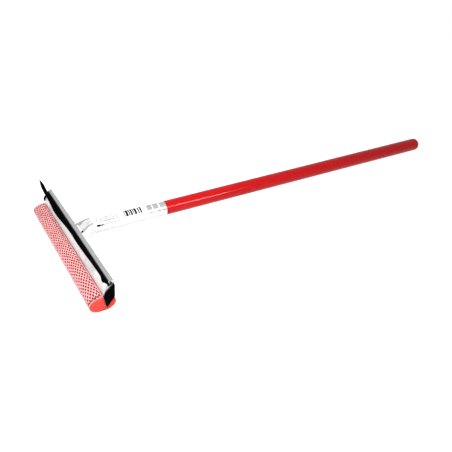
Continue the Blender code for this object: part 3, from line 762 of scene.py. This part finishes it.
def number_rings(count, sides):
    """The point numbers of rings of points that follow each other in one list."""
    return [range(ring * sides, (ring + 1) * sides) for ring in range(count)]


def wall_faces(rings):
    """Four-sided faces between rings of point numbers, each ring joined to the next."""
    faces = []
    for ring, following in zip(rings, rings[1:]):
        for index in range(len(ring)):
            after = (index + 1) % len(ring)
            faces.append((ring[index], ring[after], following[after], following[index]))
    return faces


def fan_faces(ring, tip):
    """Three-sided faces from a ring of point numbers to one point beyond it."""
    return [(ring[index], ring[(index + 1) % len(ring)], tip) for index in range(len(ring))]


def rod_faces(count, sides):
    """The faces of a rod: the walls between its rings, and a flat face at each end."""
    rings = number_rings(count, sides)
    return wall_faces(rings) + [tuple(rings[0])[::-1], tuple(rings[-1])]


def direction_at(path, index):
    """The direction of a path at one of its points."""
    return (path[min(index + 1, len(path) - 1)] - path[max(index - 1, 0)]).normalized()


def apply_modifiers(thing):
    """Replaces a piece's mesh by what its modifiers make of it."""
    bpy.context.view_layer.update()
    graph = bpy.context.evaluated_depsgraph_get()
    made = bpy.data.meshes.new_from_object(thing.evaluated_get(graph))
    thing.modifiers.clear()
    thing.data = made


# Ribs and pins on the yoke


def place_on_tool(points, side):
    """Points of the tool's own axes, in the frame, on the near side (1) or mirrored to the far side (-1)."""
    turn = Matrix.Rotation(-TOOL_DIP, 3, "X")
    return [turn @ Vector((side * point.x, point.y, point.z)) + TOOL_PLACE for point in points]


def face_out(faces, side):
    """Faces turned round on the side where the points are mirrored."""
    return faces if side > 0 else [face[::-1] for face in faces]


def make_rib(name, side, look):
    """An upright rib of sheet steel on the yoke's fan, beside its window."""
    points = []
    for foot, height in zip(RIB_PATH, RIB_HEIGHTS):
        for across, up in ((-0.5, -RIB_ROOT), (0.5, -RIB_ROOT), (0.5, height), (-0.5, height)):
            points.append(foot + Vector((across * RIB_THICKNESS, 0, up)))
    faces = rod_faces(len(RIB_PATH), 4)
    rib = make_object(name, place_on_tool(points, side), face_out(faces, side), look)
    rib.data.set_sharp_from_angle(angle=SHARP_ANGLE)


def make_shade_pin(name, side, look):
    """A dark pin head where a rib meets the head: a black piece that stands in for the deep shade there."""
    middle = RIB_PATH[-1] + Vector((RIB_THICKNESS / 2, PIN_RADIUS, PIN_RADIUS))
    points = []
    for depth, radius in PIN_RINGS:
        for step in range(PIN_SIDES):
            angle = math.tau * step / PIN_SIDES
            radial = Vector((0, math.cos(angle), math.sin(angle))) * radius * PIN_RADIUS
            points.append(middle + radial + Vector((depth * PIN_DEPTH, 0, 0)))
    rings = number_rings(len(PIN_RINGS), PIN_SIDES)
    faces = [tuple(rings[0])[::-1]] + wall_faces(rings) + fan_faces(rings[-1], len(points))
    points.append(middle + Vector((PIN_TIP * PIN_DEPTH, 0, 0)))
    make_object(name, place_on_tool(points, side), face_out(faces, side), look)


# The sponge's oval


def oval_point(half_depth, half_height, angle):
    """A point of an oval round the sponge's middle, in y and z."""
    return OVAL_MIDDLE + Vector((half_depth * math.cos(angle), half_height * math.sin(angle)))


def angle_on_line(half_depth, half_height, low, high, start, end):
    """The angle at which an oval crosses a line, between two angles."""
    along = (end - start).normalized()

    def side(angle):
        return along.cross(oval_point(half_depth, half_height, angle) - start)

    for _ in range(HALVINGS):
        middle = (low + high) / 2
        if side(low) * side(middle) > 0:
            low = middle
        else:
            high = middle
    return (low + high) / 2


def open_arc(half_depth, half_height):
    """The angles between which the oval is free: from the head's front, round below, to its back."""
    front = angle_on_line(half_depth, half_height, *FRONT_RANGE, WEDGE_FRONT, WEDGE_TOE_FRONT)
    back = angle_on_line(half_depth, half_height, *BACK_RANGE, WEDGE_TOE_BACK, WEDGE_BACK)
    return front, back + math.tau


# The foam


def foam_ring(half_depth, half_height, x):
    """The foam's outline at a place along the head: the oval without the head's wedge."""
    front, back = open_arc(half_depth, half_height)
    angles = [front + (back - front) * step / ARC_POINTS for step in range(ARC_POINTS + 1)]
    ring = [oval_point(half_depth, half_height, angle) for angle in angles]
    ring = [Vector((point.x, max(point.y, 0))) for point in ring]
    corners = [ring[-1], WEDGE_TOE_BACK, WEDGE_TOE_FRONT, ring[0]]
    for start, end in zip(corners, corners[1:]):
        for step in range(1, WEDGE_POINTS + 1):
            ring.append(start + (end - start) * step / WEDGE_POINTS)
    return [(x, point.x, point.y) for point in ring[:-1]]


def foam_end(sponge, under, side):
    """The foam's outlines at one end, from inside its cut face, over the rim, to where the net starts."""
    lip = (sponge.half_depth - sponge.lip_inset, sponge.half_height - sponge.lip_inset)
    half = SPONGE_HALF_LENGTH
    face = foam_ring(lip[0] - sponge.rim, lip[1] - sponge.rim, side * half)
    rings = []
    for share in FACE_SHARES:
        ring = []
        for _, y, z in face:
            point = CUT_MIDDLE + (Vector((y, z)) - CUT_MIDDLE) * share
            off = point - OVAL_MIDDLE
            swell = sponge.crown * max(1 - Vector((off.x / lip[0], off.y / lip[1])).length_squared, 0)
            ring.append((side * (half + swell), point.x, point.y))
        rings.append(ring)
    rings.append(face)
    for step in range(1, RIM_STEPS + 1):
        turn = math.pi / 2 * step / RIM_STEPS
        inset = sponge.rim * (1 - math.sin(turn))
        back = sponge.rim * (1 - math.cos(turn))
        rings.append(foam_ring(lip[0] - inset, lip[1] - inset, side * (half - back)))
    rings.append(foam_ring(*lip, side * (half - sponge.lip + LIP_OVERLAP)))
    rings.append(foam_ring(*under, side * (half - sponge.lip - LIP_STEP)))
    return rings


def foam_rings(sponge, yarn_height):
    """Every outline of the foam from one end to the other, and the middle points of its cut faces."""
    under = (sponge.half_depth - yarn_height, sponge.half_height - yarn_height)
    middle = [foam_ring(*under, step * RING_SPACING) for step in range(-MIDDLE_RINGS, MIDDLE_RINGS + 1)]
    reach = SPONGE_HALF_LENGTH + sponge.crown * CROWN_SHARE
    centres = [(side * reach, CUT_MIDDLE.x, CUT_MIDDLE.y) for side in (-1, 1)]
    return foam_end(sponge, under, -1) + middle + foam_end(sponge, under, 1)[::-1], centres


def slit_cutter(name, path, width, low, high):
    """A thin solid along a path in y and z, for cutting a slit between two places along the head."""
    sides = []
    for index in range(len(path)):
        along = direction_at(path, index)
        share = 1.0 if index < len(path) - 1 else SLIT_TIP
        sides.append(Vector((-along.y, along.x)) * width * share / 2)
    outline = [point + side for point, side in zip(path, sides)]
    outline += [point - side for point, side in zip(path, sides)][::-1]
    points = [(x, point.x, point.y) for x in (low, high) for point in outline]
    return add_mesh(name, points, [face[::-1] for face in rod_faces(2, len(outline))])


def make_foam(sponge, yarn_height, look):
    """The foam under the net: swollen cut faces with rounded rims, slit for the head's hook."""
    rings, centres = foam_rings(sponge, yarn_height)
    points = [point for ring in rings for point in ring]
    numbers = number_rings(len(rings), len(rings[0]))
    faces = wall_faces(numbers)
    faces += fan_faces(numbers[0][::-1], len(points)) + fan_faces(numbers[-1], len(points) + 1)
    foam = make_object("sponge_foam", points + centres, faces, look)
    slits = [slit_cutter("hook_slit", HOOK_PATH, HOOK_SLIT, -NET_HALF_LENGTH, NET_HALF_LENGTH)]
    for side in (-1, 1):
        ends = (side * (NET_HALF_LENGTH - CREASE_OVERLAP), side * (SPONGE_HALF_LENGTH + OVERRUN))
        slits.append(slit_cutter("crease", HOOK_PATH, sponge.crease, *sorted(ends)))
    for slit in slits:
        boolean = foam.modifiers.new("slit", "BOOLEAN")
        boolean.object = slit
        boolean.operation = "DIFFERENCE"
        boolean.solver = "EXACT"
    apply_modifiers(foam)
    for slit in slits:
        bpy.data.objects.remove(slit)
    foam.data.shade_smooth()
    foam.data.set_sharp_from_angle(angle=FOAM_SHARP_ANGLE)
    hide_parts("sponge")
    return foam


# The net


def arc_table(half_depth, half_height, start, end, steps=720):
    """Angles along an oval, and the distance reached at each: (angles, distances)."""
    angles = [start + (end - start) * step / steps for step in range(steps + 1)]
    reach = [0.0]
    for first, second in zip(angles, angles[1:]):
        step = oval_point(half_depth, half_height, second) - oval_point(half_depth, half_height, first)
        reach.append(reach[-1] + step.length)
    return angles, reach


def angle_at(table, distance):
    """The angle at a distance along an oval."""
    angles, reach = table
    distance = min(max(distance, 0.0), reach[-1])
    low, high = 0, len(reach) - 1
    while high - low > 1:
        middle = (low + high) // 2
        if reach[middle] <= distance:
            low = middle
        else:
            high = middle
    share = (distance - reach[low]) / (reach[high] - reach[low])
    return angles[low] + (angles[high] - angles[low]) * share


class NetSurface:
    """Places on the sponge for the net: x along the head, distance round the oval, height above the foam."""

    def __init__(self, sponge, net):
        self.depth = sponge.half_depth - net.yarn_height
        self.height = sponge.half_height - net.yarn_height
        front, back = open_arc(self.depth, self.height)
        front += net.hem * HEM_GAP / self.depth
        back -= net.hem * HEM_GAP_BACK / self.height
        self.table = arc_table(self.depth, self.height, front, back)
        self.length = self.table[1][-1]
        self.slack = net.slack
        self.twist = net.twist
        noise.seed_set(STRAY_SEED)

    def place(self, x, distance, height):
        """A point of the net."""
        stray = noise.noise_vector(Vector((x, distance, 0)) * STRAY_SCALE) * self.slack
        edge = min(distance, self.length - distance, NET_HALF_LENGTH - abs(x))
        stray *= min(max(edge, 0) / STRAY_MARGIN, 1)
        share = (x / NET_HALF_LENGTH + 1) / 2
        stray.x -= self.twist * math.sin(math.pi * share) * share * math.cos(math.pi * distance / self.length)
        angle = angle_at(self.table, distance + stray.y)
        point = oval_point(self.depth, self.height, angle)
        outward = Vector((math.cos(angle) / self.depth, math.sin(angle) / self.height)).normalized()
        point += outward * height
        return (x + stray.x, point.x, max(point.y, FLOOR_GAP))


def make_net(sponge, net, look):
    """The knitted net: rounded strands of yarn crossing in diamonds, each with its own hole."""
    surface = NetSurface(sponge, net)
    length = 2 * (NET_HALF_LENGTH - 2 * net.hem)
    columns = round(length / net.mesh_length)
    rows = round(2 * (surface.length - net.hem) / net.mesh_height)
    quarter_x = length / columns / 4
    quarter_s = (surface.length - net.hem) / rows / 2
    start_s = net.hem / 2
    hole = net.hole_share
    points, faces, known = [], [], {}

    def add_point(i, j, height):
        points.append(surface.place(i * quarter_x - length / 2, start_s + j * quarter_s, height))
        return len(points) - 1

    def crest(i, j, height):
        key = (i, j, height > 0)
        if key not in known:
            known[key] = add_point(i, j, height)
        return known[key]

    def inner(i, j, corner, share, height):
        share *= TIP_PULL if 0 in corner else SIDE_PULL
        return add_point(i + corner[0] * share, j + corner[1] * share, height)

    for row in range(1, rows):
        for column in range(columns + 1):
            i, j = 4 * column + 2 * (row % 2), 2 * row
            if i < 2 or i > 4 * columns - 2:
                continue
            loops = [[], [], [], []]
            for corner in HOLE_CORNERS:
                top = net.yarn_height * (1.0 if 0 in corner else STRAND_HEIGHT)
                loops[0].append(crest(i + corner[0], j + corner[1], top))
                loops[1].append(inner(i, j, corner, (1 + hole) / 2, net.yarn_height * SLOPE_HEIGHT))
                loops[2].append(inner(i, j, corner, hole, net.yarn_height * EDGE_HEIGHT))
                loops[3].append(crest(i + corner[0], j + corner[1], 0.0))
            faces += wall_faces(loops)
    cover = make_object("sponge_net", points, faces, look)
    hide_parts("net_cover")
    return cover, surface


def tube(points, radius, sides=8):
    """The mesh of a round strand along a path: (points, faces)."""
    made = []
    for index, point in enumerate(points):
        along = direction_at(points, index)
        aside = LONG_HEM_ASIDE if abs(along.x) > 0.5 else END_HEM_ASIDE
        first = along.cross(aside).normalized()
        second = along.cross(first)
        for side in range(sides):
            turn = math.tau * side / sides
            made.append(tuple(point + (first * math.cos(turn) + second * math.sin(turn)) * radius))
    return made, rod_faces(len(points), sides)


def make_hems(surface, net, look):
    """The bound edges of the net: one strand along each side of the head, and one round each end."""
    reach = NET_HALF_LENGTH - net.hem
    paths = []
    for distance in (0.0, surface.length):
        places = [reach * (step / HALF_STEPS - 1) for step in range(2 * HALF_STEPS + 1)]
        paths.append([Vector(surface.place(x, distance, net.hem)) for x in places])
    for side in (-1, 1):
        distances = [surface.length * step / END_STEPS for step in range(END_STEPS + 1)]
        height = net.hem * END_HEM_HEIGHT
        paths.append([Vector(surface.place(side * reach, distance, height)) for distance in distances])
    points, faces = [], []
    for path in paths:
        for point in path:
            point.z = max(point.z, net.hem)
        made, joined = tube(path, net.hem)
        faces += [tuple(index + len(points) for index in face) for face in joined]
        points += made
    return make_object("net_hem", points, faces, look)


# Light


def add_lamp(name, place, target, power, size):
    """A square soft lamp that shines at a point."""
    light = bpy.data.lights.new(name, "AREA")
    light.energy = power
    light.size = size
    lamp = bpy.data.objects.new(name, light)
    lamp.location = place
    lamp.rotation_euler = (Vector(target) - lamp.location).to_track_quat("-Z", "Y").to_euler()
    bpy.context.scene.collection.objects.link(lamp)
    return lamp


def seen_directly(tree):
    """1 for rays from the camera, from reflections and through glass, 0 for those that light the object."""
    path = add_node(tree, "ShaderNodeLightPath").outputs
    mirrored = calc(tree, "MAXIMUM", path["Is Glossy Ray"], path["Is Transmission Ray"])
    return calc(tree, "MAXIMUM", path["Is Camera Ray"], mirrored)


# Operators


class SQUEEGEE_OT_handle(bpy.types.Operator):
    """Paint the wooden handle and plate the nail that holds it"""

    bl_idname = "squeegee.handle"
    bl_label = "Handle and nail"

    def execute(self, context):
        colours = context.scene.squeegee_colours
        dress_solid("handle", handle_paint(colours))
        dress_solid("handle_nail", fastener_steel(colours))
        return {"FINISHED"}


class SQUEEGEE_OT_label(bpy.types.Operator):
    """Print the paper label round the socket"""

    bl_idname = "squeegee.label"
    bl_label = "Label"

    def execute(self, context):
        dress_solid("label", label_paper(context.scene.squeegee_colours))
        return {"FINISHED"}


class SQUEEGEE_OT_yoke(bpy.types.Operator):
    """Paint the yoke white, plate its two rivets, and add its ribs and pins"""

    bl_idname = "squeegee.yoke"
    bl_label = "Yoke, ribs and rivets"

    def execute(self, context):
        colours = context.scene.squeegee_colours
        dress_solid("yoke", steel_paint("white_paint", colours.white))
        for name in ("yoke_rivet_far", "yoke_rivet_near"):
            dress_solid(name, fastener_steel(colours))
        # A darker copy of the white paint for the ribs: painted shade.
        primer = steel_paint("primer", colours.primer)
        plastic = black_plastic(colours)
        for name, side in (("far", -1), ("near", 1)):
            make_rib("yoke_rib_" + name, side, primer)
            make_shade_pin("yoke_shade_pin_" + name, side, plastic)
        return {"FINISHED"}


class SQUEEGEE_OT_head(bpy.types.Operator):
    """Finish the galvanised back sheet and end plates and the bright front plate"""

    bl_idname = "squeegee.head"
    bl_label = "Head sheets"

    def execute(self, context):
        colours = context.scene.squeegee_colours
        streaks = (0.06, 0.0007, 0.0007)
        sheet = metal(
            "sheet_steel", colours.sheet_steel, streaks, streak_share=0.35, spangle=0.22,
            smooth=0.30, dull=0.44, depth=0.00003,
        )
        plate = metal(
            "plated_steel", colours.plated_steel, streaks, streak_share=0.18, spangle=0.05,
            smooth=0.24, dull=0.36, depth=0.00002,
        )
        for name in ("back_sheet", "end_plate_far", "end_plate_near"):
            dress_solid(name, sheet)
        dress_solid("front_plate", plate)
        return {"FINISHED"}


class SQUEEGEE_OT_blade(bpy.types.Operator):
    """Finish the rubber wiping blade"""

    bl_idname = "squeegee.blade"
    bl_label = "Blade"

    def execute(self, context):
        dress_solid("wiper_blade", rubber(context.scene.squeegee_colours))
        return {"FINISHED"}


class SQUEEGEE_OT_caps(bpy.types.Operator):
    """Finish the two plastic end caps"""

    bl_idname = "squeegee.caps"
    bl_label = "End caps"

    def execute(self, context):
        look = black_plastic(context.scene.squeegee_colours)
        for name in ("end_cap_far", "end_cap_near"):
            dress_solid(name, look, edge=CAP_EDGE)
        return {"FINISHED"}


class SQUEEGEE_OT_sponge(bpy.types.Operator):
    """Make the foam sponge and the knitted net round it"""

    bl_idname = "squeegee.sponge"
    bl_label = "Sponge and net"

    def execute(self, context):
        scene = context.scene
        sponge, net = scene.squeegee_sponge, scene.squeegee_net
        foam = make_foam(sponge, net.yarn_height, foam_finish(scene.squeegee_colours))
        yarn = yarn_finish(scene.squeegee_colours)
        cover, surface = make_net(sponge, net, yarn)
        hem = make_hems(surface, net, yarn)
        return {"FINISHED"}


class SQUEEGEE_OT_stage(bpy.types.Operator):
    """Set up the white floor, the sky, the lamps and the camera"""

    bl_idname = "squeegee.stage"
    bl_label = "Stage"

    def execute(self, context):
        scene = context.scene
        stage = scene.squeegee_stage
        self.make_floor(stage)
        self.make_sky(scene, stage)
        self.make_lamps(stage)
        self.make_camera(scene)
        scene.view_settings.view_transform = "Standard"
        return {"FINISHED"}

    def make_floor(self, stage):
        """A pale floor that shows as white and keeps the tool's shadow."""
        look, tree, shader = start_finish("studio_floor")
        point = place_of(tree)
        flecks = grain(tree, point, (0.004, 0.004, 0.004))
        colour = blend_colour(tree, flecks["Mask"], (0.79, 0.79, 0.79), (0.81, 0.81, 0.81))
        glow = times(tree, seen_directly(tree), stage.floor_glow)
        tree.links.new(glow, shader.inputs["Emission Strength"])
        shader.inputs["Emission Color"].default_value = (1, 1, 1, 1)
        finish_with(tree, shader, colour, between(tree, flecks["Mask"], 0.9, 1.0), Specular_IOR_Level=0.0)
        half = stage.floor_size / 2
        corners = [(-half, -half, 0), (half, -half, 0), (half, half, 0), (-half, half, 0)]
        floor = add_mesh("studio_floor", corners, [(0, 1, 2, 3)])
        floor.data.materials.append(look)

    def make_sky(self, scene, stage):
        """Plain light from all round, white where it is seen directly."""
        world = bpy.data.worlds.new("studio")
        world.use_nodes = True
        tree = world.node_tree
        background = tree.nodes["Background"]
        background.inputs["Color"].default_value = (1, 1, 1, 1)
        tree.links.new(calc(tree, "MAXIMUM", seen_directly(tree), stage.sky), background.inputs["Strength"])
        scene.world = world

    def make_lamps(self, stage):
        """A large soft lamp, and a long one turned so that its light runs along the handle."""
        key = add_lamp("key_lamp", KEY_PLACE, KEY_TARGET, stage.key_power, stage.key_size)
        key.data.spread = stage.key_spread
        streak = add_lamp("streak_lamp", STREAK_PLACE, STREAK_TARGET, stage.streak_power, STREAK_LENGTH)
        streak.data.shape = "RECTANGLE"
        streak.data.size_y = STREAK_WIDTH
        along = streak.rotation_euler.to_matrix().inverted() @ Vector(STREAK_LINE)
        streak.rotation_euler.rotate_axis("Z", math.atan2(along.y, along.x))

    def make_camera(self, scene):
        """The camera at the photograph's viewpoint."""
        camera = bpy.data.objects.new("camera", bpy.data.cameras.new("camera"))
        camera.data.sensor_width = SENSOR_WIDTH
        camera.data.lens = LENS
        camera.matrix_world = Matrix(CAMERA_ROWS)
        scene.collection.objects.link(camera)
        scene.camera = camera


class VIEW3D_PT_squeegee(bpy.types.Panel):
    """Sizes, colours and steps of the squeegee"""

    bl_idname = "VIEW3D_PT_squeegee"
    bl_label = "Squeegee"
    bl_space_type = "VIEW_3D"
    bl_region_type = "UI"
    bl_category = "Squeegee"

    def draw(self, context):
        for name, owner in PROPERTY_GROUPS:
            box = self.layout.box()
            box.label(text=owner.__doc__)
            for key in owner.__annotations__:
                box.prop(getattr(context.scene, name), key)
        for operator in OPERATORS:
            self.layout.operator(operator.bl_idname)


PROPERTY_GROUPS = (
    ("squeegee_net", SqueegeeNet),
    ("squeegee_sponge", SqueegeeSponge),
    ("squeegee_colours", SqueegeeColours),
    ("squeegee_stage", SqueegeeStage),
)
OPERATORS = (
    SQUEEGEE_OT_handle,
    SQUEEGEE_OT_label,
    SQUEEGEE_OT_yoke,
    SQUEEGEE_OT_head,
    SQUEEGEE_OT_blade,
    SQUEEGEE_OT_caps,
    SQUEEGEE_OT_sponge,
    SQUEEGEE_OT_stage,
)


def register():
    for name, owner in PROPERTY_GROUPS:
        bpy.utils.register_class(owner)
        setattr(bpy.types.Scene, name, PointerProperty(type=owner))
    for owner in OPERATORS + (VIEW3D_PT_squeegee,):
        bpy.utils.register_class(owner)


def unregister():
    for owner in (VIEW3D_PT_squeegee,) + OPERATORS[::-1]:
        bpy.utils.unregister_class(owner)
    for name, owner in PROPERTY_GROUPS[::-1]:
        delattr(bpy.types.Scene, name)
        bpy.utils.unregister_class(owner)


def main():
    """Registers the add-on and finishes every piece."""
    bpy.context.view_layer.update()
    register()
    make_shared_groups()
    for owner in OPERATORS:
        getattr(bpy.ops.squeegee, owner.bl_idname.partition(".")[2])()


if __name__ == "__main__":
    main()
